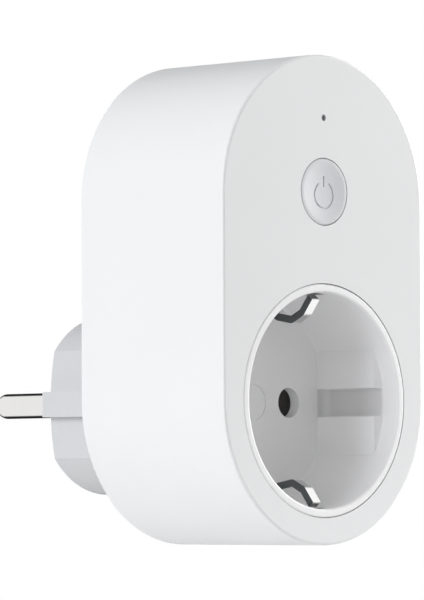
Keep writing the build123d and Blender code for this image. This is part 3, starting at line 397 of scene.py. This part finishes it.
def make_set_out():
    """One shape at each given place, each turned by a seeded angle between the least and the most turn."""
    tree, start, end = shape_tree(
        "set_out",
        [
            ("Places", "NodeSocketGeometry", None),
            ("Shape", "NodeSocketObject", None),
            ("Least Turn", "NodeSocketVector", (0.0, 0.0, 0.0)),
            ("Most Turn", "NodeSocketVector", (0.0, 0.0, 0.0)),
            ("Seed", "NodeSocketInt", 7),
            ("Finish", "NodeSocketMaterial", None),
        ],
    )
    shape = tree.nodes.new("GeometryNodeObjectInfo")
    turn = tree.nodes.new("FunctionNodeRandomValue")
    turn.data_type = "FLOAT_VECTOR"
    spread = tree.nodes.new("GeometryNodeInstanceOnPoints")
    tree.links.new(start.outputs["Shape"], shape.inputs["Object"])
    tree.links.new(start.outputs["Least Turn"], turn.inputs["Min"])
    tree.links.new(start.outputs["Most Turn"], turn.inputs["Max"])
    tree.links.new(start.outputs["Seed"], turn.inputs["Seed"])
    tree.links.new(start.outputs["Places"], spread.inputs["Points"])
    tree.links.new(shape.outputs["Geometry"], spread.inputs["Instance"])
    tree.links.new(turn.outputs["Value"], spread.inputs["Rotation"])
    finish_tree(tree, spread.outputs["Instances"], start, end)
    return tree


wound_wire = make_wound_wire()
set_out = make_set_out()


def link(name, mesh):
    """A mesh as an object in the scene, at the origin."""
    piece = bpy.data.objects.new(name, mesh)
    bpy.context.scene.collection.objects.link(piece)
    return piece


def smooth(piece, angle=35):
    """Smooth shading with sharp edges kept."""
    mesh = piece.data
    mesh.polygons.foreach_set("use_smooth", [True] * len(mesh.polygons))
    mesh.set_sharp_from_angle(angle=math.radians(angle))


def grown(name, tree, seed_mesh, settings):
    """A plain mesh object that a geometry node tree makes with these settings."""
    maker = link(name + "_maker", seed_mesh)
    modifier = maker.modifiers.new(tree.name, "NODES")
    modifier.node_group = tree
    for item in tree.interface.items_tree:
        if item.in_out == "INPUT" and item.name in settings:
            modifier[item.identifier] = settings[item.name]
    bpy.context.view_layer.update()
    view = bpy.context.evaluated_depsgraph_get()
    mesh = bpy.data.meshes.new_from_object(maker.evaluated_get(view))
    bpy.data.objects.remove(maker)
    mesh.name = name
    piece = link(name, mesh)
    smooth(piece)
    return piece


def points_mesh(name, places):
    """A mesh of loose points, to set shapes out on."""
    mesh = bpy.data.meshes.new(name)
    mesh.from_pydata(places, [], [])
    return mesh


def turned(name, profile, sides=48, origin=(0, 0, 0)):
    """A turned piece: a profile of (radius, height) revolved about Y; heights run along +Y."""
    shape = bmesh.new()
    rings = []
    for radius, height in profile:
        if radius < 1e-9:
            rings.append([shape.verts.new((origin[0], origin[1] + height, origin[2]))])
            continue
        rings.append([
            shape.verts.new((
                origin[0] + radius * math.cos(2 * math.pi * k / sides),
                origin[1] + height,
                origin[2] + radius * math.sin(2 * math.pi * k / sides),
            ))
            for k in range(sides)
        ])
    for low, high in zip(rings, rings[1:]):
        for k in range(sides):
            n = k + 1
            corners = [low[k % len(low)], high[k % len(high)], high[n % len(high)], low[n % len(low)]]
            shape.faces.new(list(dict.fromkeys(corners)))
    bmesh.ops.recalc_face_normals(shape, faces=shape.faces)
    mesh = bpy.data.meshes.new(name)
    shape.to_mesh(mesh)
    shape.free()
    return mesh


def joined(name, meshes, materials):
    """One mesh object of several meshes, each with its own material."""
    whole = bmesh.new()
    for index, mesh in enumerate(meshes):
        first = len(whole.faces)
        whole.from_mesh(mesh)
        whole.faces.ensure_lookup_table()
        for face in whole.faces[first:]:
            face.material_index = index
    mesh = bpy.data.meshes.new(name)
    whole.to_mesh(mesh)
    whole.free()
    for finish in materials:
        mesh.materials.append(finish)
    piece = link(name, mesh)
    smooth(piece)
    return piece


def stands_for(piece, body, slot, *replaced):
    """Says which body a piece moves with and which nodes it stands for; the finish slot it is given is not
    used.
    """
    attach(piece, body)
    if replaced:
        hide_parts(*replaced)


def middle(low, high):
    return (low + high) / 2


# The shutter's spring: a wire helix at one fixed length; the real spring shortens as the shutter slides.
low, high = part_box("shutter_spring")
spring_wire = 0.2 * MM
spring_span = high.x - low.x
spring = grown("shutter_spring_coil", wound_wire, points_mesh("spring_seed", []), {
    "Coil Radius": (high.z - low.z) / 2 - spring_wire,
    "Wire Radius": spring_wire,
    "Turns": 11.0,
    "Length": spring_span - 2 * spring_wire,
    "Turned": (0.0, math.radians(90), 0.0),
    "Foot": (low.x + spring_wire, middle(low.y, high.y), middle(low.z, high.z)),
    "Finish": finishes["spring_steel"],
})
stands_for(spring, "case", "spring_steel", "shutter_spring")
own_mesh(spring)


def coil_on_bobbin(name, node, core_radius, flange, wire, inset, finish, core_finish):
    """A flanged bobbin wound with enamelled wire; its core stands out in front by the inset."""
    low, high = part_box(node)
    centre = Vector((middle(low.x, high.x), 0, middle(low.z, high.z)))
    outer = (high.x - low.x) / 2
    front, back = low.y + inset, high.y
    rim = 0.12 * MM
    body = turned(name + "_bobbin", [
        (0, low.y), (core_radius - rim, low.y), (core_radius, low.y + rim), (core_radius, front),
        (outer - rim, front), (outer, front + rim),
        (outer, front + flange - rim), (outer - rim, front + flange),
        (outer - 3 * wire, front + flange), (outer - 3 * wire, back - flange),
        (outer - rim, back - flange), (outer, back - flange + rim),
        (outer, back - rim), (outer - rim, back), (0, back),
    ], origin=(centre.x, 0, centre.z))
    span = back - front - 2 * flange - 2 * wire
    winding = grown(name + "_winding", wound_wire, points_mesh(name + "_seed", []), {
        "Coil Radius": outer - 2 * wire,
        "Wire Radius": wire,
        "Turns": span / (2.05 * wire),
        "Length": span,
        "Turned": (math.radians(-90), 0.0, 0.0),
        "Foot": (centre.x, front + flange + wire, centre.z),
        "Finish": finishes[finish],
    })
    wire_mesh = winding.data
    bpy.data.objects.remove(winding)
    return joined(name, [body, wire_mesh], [finishes[core_finish], finishes[finish]])


relay_winding = coil_on_bobbin(
    "relay_coil_wound", "relay_coil", core_radius=2.4 * MM, flange=0.6 * MM, wire=0.12 * MM, inset=0.7 * MM,
    finish="copper_coil", core_finish="relay_bobbin",
)
stands_for(relay_winding, "case", "copper_coil", "relay_coil")
choke = coil_on_bobbin(
    "filter_choke_wound", "filter_choke", core_radius=1.6 * MM, flange=1.0 * MM, wire=0.16 * MM, inset=0.0,
    finish="copper_coil", core_finish="ferrite",
)
stands_for(choke, "case", "ferrite", "filter_choke")


def threaded_screw(name, shank, head, head_height, length, pitch, recess_reach, recess_depth):
    """A pan-head screw about Y, head towards +Y: a cross recess, a thread and a pointed end."""
    around, along = 28, 8                        # faces round the thread, and rows in each turn
    core, crest_height, crest_slope = 0.76, 0.24, 3.2   # the first two are shares of the shank's radius
    point_turns, point_end = 1.6, 0.25           # how long the point is, and how blunt
    rows = round(length / pitch * along)
    shape = bmesh.new()
    rings = []
    for row in range(rows + 1):
        depth = length * row / rows
        taper = min(1.0, (length - depth) / (point_turns * pitch) * (1 - point_end) + point_end)
        run_out = min(1.0, depth / pitch)
        ring = []
        for k in range(around):
            turn = (depth / pitch - k / around) % 1.0
            crest = max(0.0, 1 - abs(turn - 0.5) * crest_slope)
            radius = shank * taper * (core + crest_height * crest * run_out)
            angle = 2 * math.pi * k / around
            ring.append(shape.verts.new((radius * math.cos(angle), -depth, radius * math.sin(angle))))
        rings.append(ring)
    for upper, lower in zip(rings, rings[1:]):
        for k in range(around):
            shape.faces.new((upper[k], upper[(k + 1) % around], lower[(k + 1) % around], lower[k]))
    shape.faces.new(rings[0])
    shape.faces.new(rings[-1])
    bmesh.ops.recalc_face_normals(shape, faces=shape.faces)
    thread = bpy.data.meshes.new(name + "_thread")
    shape.to_mesh(thread)
    shape.free()
    crown = head_height * 0.3
    cap = turned(name + "_cap", [
        (0, 0), (head * 0.97, 0), (head, head_height * 0.06), (head, head_height - crown),
        (head * 0.95, head_height - crown * 0.45), (head * 0.82, head_height - crown * 0.12),
        (head * 0.6, head_height), (0, head_height),
    ])
    slot_long, slot_wide, over = 2 * recess_reach, 0.42 * recess_reach, 0.2 * MM
    cutter = bmesh.new()
    for along_x, along_z in ((slot_long, slot_wide), (slot_wide, slot_long)):
        bmesh.ops.create_cube(cutter, size=1, matrix=(
            Matrix.Translation((0, head_height - recess_depth / 2 + over / 2, 0))
            @ Matrix.Diagonal((along_x, recess_depth + over, along_z, 1))
        ))
    cutter_mesh = bpy.data.meshes.new(name + "_cutter")
    cutter.to_mesh(cutter_mesh)
    cutter.free()
    head_piece, tool = link(name + "_head", cap), link(name + "_tool", cutter_mesh)
    cut = head_piece.modifiers.new("recess", "BOOLEAN")
    cut.operation = "DIFFERENCE"
    cut.solver = "EXACT"
    cut.use_self = True
    cut.object = tool
    bpy.context.view_layer.update()
    view = bpy.context.evaluated_depsgraph_get()
    head_mesh = bpy.data.meshes.new_from_object(head_piece.evaluated_get(view))
    for used in (head_piece, tool):
        bpy.data.objects.remove(used)
    return joined(name, [head_mesh, thread], [])


def screw_set(node, screw, facing, seat_places):
    """A set of the same screw, each with its recess at its own angle; facing is the heads' way along Y."""
    tilt = 0.0 if facing > 0 else math.pi
    piece = grown(node + "_threaded", set_out, points_mesh(node + "_places", seat_places), {
        "Shape": screw,
        "Least Turn": (tilt, 0.0, 0.0),
        "Most Turn": (tilt, math.pi / 2, 0.0),
        "Seed": len(node),
        "Finish": finishes["screw_steel"],
    })
    stands_for(piece, "case", "screw_steel", node)


def node_islands(node):
    """The boxes of a node's separate solids, as (low, high) pairs."""
    shape = bmesh.new()
    shape.from_mesh(nodes[node].data)
    bmesh.ops.remove_doubles(shape, verts=shape.verts, dist=1e-7)
    left = set(shape.verts)
    boxes = []
    while left:
        queue = [left.pop()]
        found = list(queue)
        while queue:
            for edge in queue.pop().link_edges:
                for vert in edge.verts:
                    if vert in left:
                        left.remove(vert)
                        queue.append(vert)
                        found.append(vert)
        places = [vert.co for vert in found]
        boxes.append((
            Vector(min(place[i] for place in places) for i in range(3)),
            Vector(max(place[i] for place in places) for i in range(3)),
        ))
    shape.free()
    return boxes


def seats(node, head_height, facing):
    """Where the undersides of a node's screw heads lie."""
    found = []
    for low, high in node_islands(node):
        seat = high.y - head_height if facing > 0 else low.y + head_height
        found.append((middle(low.x, high.x), seat, middle(low.z, high.z)))
    return sorted(found)


cover_head, board_head = 1.6 * MM, 1.2 * MM      # how high the two kinds of head are
cover_screw = threaded_screw(
    "cover_screw", shank=1.1 * MM, head=2.3 * MM, head_height=cover_head, length=9 * MM, pitch=0.8 * MM,
    recess_reach=1.2 * MM, recess_depth=0.8 * MM,
)
board_screw = threaded_screw(
    "board_screw", shank=0.9 * MM, head=1.9 * MM, head_height=board_head, length=4.6 * MM, pitch=0.6 * MM,
    recess_reach=1.0 * MM, recess_depth=0.7 * MM,
)
screw_set("cover_screws", cover_screw, 1, seats("cover_screws", cover_head, 1))
short_screws = {"carrier_screws": 1, "control_screws": 1, "board_screws": -1, "pin_carrier_screws": -1}
for node, facing in short_screws.items():
    screw_set(node, board_screw, facing, seats(node, board_head, facing))

# Solder joints on the back of the power board, one cone of tin on each lead that comes through it.
# The feet of a part are given as shares of its width and height, from its middle.
joint_shape = link("joint_shape", turned("joint_shape", [
    (0.95 * MM, 0), (0.8 * MM, 0.1 * MM), (0.5 * MM, 0.25 * MM),
    (0.38 * MM, 0.5 * MM), (0.36 * MM, 0.8 * MM), (0, 0.86 * MM),
], sides=20))
power_board_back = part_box("power_board")[1].y
joint_places = []
for node, feet in (
    ("relay_case", ((-0.42, -0.36), (-0.42, 0.36), (0.1, -0.36), (0.42, 0.0), (0.1, 0.36))),
    ("transformer_coil", ((-0.4, -0.36), (0.0, -0.36), (0.4, -0.36), (-0.4, 0.36), (0.4, 0.36))),
    ("film_capacitor", ((-0.38, 0.0), (0.38, 0.0))),
    ("fuse", ((-0.33, 0.0), (0.33, 0.0))),
    ("rectifier", ((-0.38, -0.3), (-0.38, 0.3), (0.38, -0.3), (0.38, 0.3))),
    ("filter_choke", ((0.0, -0.35), (0.0, 0.35))),
    ("varistor", ((0.0, -0.25), (0.0, 0.25))),
):
    low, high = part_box(node)
    for across, up in feet:
        joint_places.append((
            middle(low.x, high.x) + across * (high.x - low.x),
            power_board_back,
            middle(low.z, high.z) + up * (high.z - low.z),
        ))
can_lead_offset = 1.25 * MM
for low, high in node_islands("bulk_capacitors"):
    for across in (-can_lead_offset, can_lead_offset):
        joint_places.append((middle(low.x, high.x) + across, power_board_back, middle(low.z, high.z)))
solder = grown("power_board_joints", set_out, points_mesh("joint_places", joint_places), {
    "Shape": joint_shape,
    "Most Turn": (0.0, math.pi, 0.0),
    "Finish": finishes["solder_tin"],
})
stands_for(solder, "case", "tin_shield")


def chip_shape():
    """A small surface-mounted part: a body with a metal cap wrapped round each end."""
    body, cap, cap_offset = (1.0, 0.5, 0.78), (0.36, 0.55, 0.82), 0.62      # in mm
    shape = bmesh.new()
    for centre, size in ((0.0, body), (-cap_offset, cap), (cap_offset, cap)):
        made = bmesh.ops.create_cube(shape, size=1, matrix=(
            Matrix.Translation((centre * MM, 0.28 * MM, 0)) @ Matrix.Diagonal((*[v * MM for v in size], 1))
        ))
        edges = list({edge for vert in made["verts"] for edge in vert.link_edges})
        bmesh.ops.bevel(shape, geom=edges, offset=0.05 * MM, segments=2, profile=0.5, affect="EDGES")
    mesh = bpy.data.meshes.new("chip_shape")
    shape.to_mesh(mesh)
    shape.free()
    return link("chip_shape", mesh)


control_board_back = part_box("control_board")[1].y
chip_places = [(x * MM, control_board_back, z * MM) for x, z in (
    (-4.6, 32.4), (-2.2, 32.4), (0.3, 32.4), (2.7, 32.4), (5.0, 32.4),
    (-3.4, 30.4), (3.1, 30.4), (-0.2, 30.4),
    (-4.3, 56.3), (-1.6, 56.3), (1.7, 56.3), (4.4, 56.3),
)]
chip = chip_shape()
chips = grown("control_board_chips", set_out, points_mesh("chip_places", chip_places), {
    "Shape": chip,
    "Finish": finishes["solder_tin"],
})
stands_for(chips, "case", "tin_shield")
for used in (cover_screw, board_screw, joint_shape, chip):
    bpy.data.objects.remove(used)


# ---- Camera, floor and light ---------------------------------------------------------------
# A long lens, looking at the front from its left and a little from below.
camera = bpy.data.objects.new("camera", bpy.data.cameras.new("camera"))
bpy.context.scene.collection.objects.link(camera)
camera.data.lens = 275.3
camera.data.sensor_width = 36.0
camera.data.clip_start = 0.05
camera.data.clip_end = 20.0
camera.matrix_world = Matrix((
    (0.70313, -0.02642, -0.71057, -0.61205),
    (-0.71105, -0.03221, -0.70240, -0.63394),
    (-0.00433, 0.99913, -0.04143, -0.01632),
    (0.0, 0.0, 0.0, 1.0),
))
bpy.context.scene.camera = camera


def floor_material():
    """Plain pale floor, open when it is looked at from below."""
    made = bpy.data.materials.new("floor_white")
    made.use_nodes = True
    tree = made.node_tree
    principled = tree.nodes["Principled BSDF"]
    place = tree.nodes.new("ShaderNodeTexCoord").outputs["Object"]
    tone = math_node(tree, "MULTIPLY_ADD", noise(tree, place, 6.0, 2.0), 0.02, 0.93)
    colour = tree.nodes.new("ShaderNodeCombineColor")
    for socket in colour.inputs:
        tree.links.new(tone, socket)
    tree.links.new(colour.outputs[0], principled.inputs["Base Color"])
    principled.inputs["Roughness"].default_value = 0.9
    principled.inputs["Specular IOR Level"].default_value = 0.1
    open_below = tree.nodes.new("ShaderNodeMixShader")
    tree.links.new(tree.nodes.new("ShaderNodeNewGeometry").outputs["Backfacing"], open_below.inputs["Fac"])
    tree.links.new(principled.outputs["BSDF"], open_below.inputs[1])
    tree.links.new(tree.nodes.new("ShaderNodeBsdfTransparent").outputs["BSDF"], open_below.inputs[2])
    tree.links.new(open_below.outputs["Shader"], tree.nodes["Material Output"].inputs["Surface"])
    return made


floor_radius, floor_centre = 0.1, (0, -0.035, -0.065)
sheet = bmesh.new()
bmesh.ops.create_circle(
    sheet, cap_ends=True, segments=96, radius=floor_radius, matrix=Matrix.Translation(floor_centre)
)
floor_mesh = bpy.data.meshes.new("floor")
sheet.to_mesh(floor_mesh)
sheet.free()
floor = bpy.data.objects.new("floor", floor_mesh)
bpy.context.scene.collection.objects.link(floor)
floor.data.materials.append(floor_material())


box_side, box_distance = 0.8, 1.5
box_aim = Vector((0, -0.03, 0.02))


def softbox(name, azimuth, elevation, power, colour=(1.0, 1.0, 1.0)):
    """A square area light round the object, seen from it at an azimuth from the front and an elevation."""
    around, up = math.radians(azimuth), math.radians(elevation)
    out = Vector((math.sin(around) * math.cos(up), -math.cos(around) * math.cos(up), math.sin(up)))
    light = bpy.data.lights.new(name, "AREA")
    light.shape = "SQUARE"
    light.size = box_side
    light.energy = power
    light.color = colour
    holder = bpy.data.objects.new(name, light)
    bpy.context.scene.collection.objects.link(holder)
    holder.location = out * box_distance + box_aim
    holder.rotation_mode = "QUATERNION"
    holder.rotation_quaternion = (-out).to_track_quat("-Z", "Y")


softbox("left_box", -90, 12, 13.4, (0.96, 0.975, 1.0))
softbox("left_front_box", -70, 12, 1.6)
softbox("right_front_box", 65, 12, 15.0)
softbox("right_box", 95, 12, 15.9)
softbox("back_box", 175, 5, 5.0)

# The studio's walls are even. Glossy finishes mirror white cloth all round, left open at the back right.
wall_light, backdrop_light = 0.42, 1.0
cloth_middle = (-0.71, -0.70, 0.0)
open_until, cloth_from = -0.70, -0.58        # cosines of the angle off the cloth's middle
open_light, cloth_light = 0.02, 1.0
world = bpy.data.worlds.new("studio")
bpy.context.scene.world = world
world.use_nodes = True
sky = world.node_tree
background = sky.nodes["Background"]
background.inputs["Color"].default_value = (1.0, 1.0, 1.0, 1.0)
seen = sky.nodes.new("ShaderNodeLightPath")
facing = sky.nodes.new("ShaderNodeVectorMath")
facing.operation = "DOT_PRODUCT"
facing.inputs[1].default_value = cloth_middle
sky.links.new(sky.nodes.new("ShaderNodeTexCoord").outputs["Generated"], facing.inputs[0])
cloth = sky.nodes.new("ShaderNodeMapRange")
cloth.name = "cloth"
cloth.inputs["From Min"].default_value = open_until
cloth.inputs["From Max"].default_value = cloth_from
cloth.inputs["To Min"].default_value = open_light
cloth.inputs["To Max"].default_value = cloth_light
sky.links.new(facing.outputs["Value"], cloth.inputs["Value"])


def by_ray(name, kind, otherwise, here):
    """A strength that is one value for a kind of ray and another value for all the other rays."""
    mix = sky.nodes.new("ShaderNodeMix")
    mix.name = name
    mix.data_type = "FLOAT"
    sky.links.new(seen.outputs[kind], mix.inputs["Factor"])
    for socket, value in ((mix.inputs["A"], otherwise), (mix.inputs["B"], here)):
        if isinstance(value, (int, float)):
            socket.default_value = value
        else:
            sky.links.new(value, socket)
    return mix.outputs["Result"]


surround = by_ray("surround", "Is Glossy Ray", wall_light, cloth.outputs["Result"])
strength = by_ray("backdrop", "Is Camera Ray", surround, backdrop_light)
sky.links.new(strength, background.inputs["Strength"])
bpy.context.scene.view_settings.view_transform = "Standard"

bpy.context.view_layer.update()
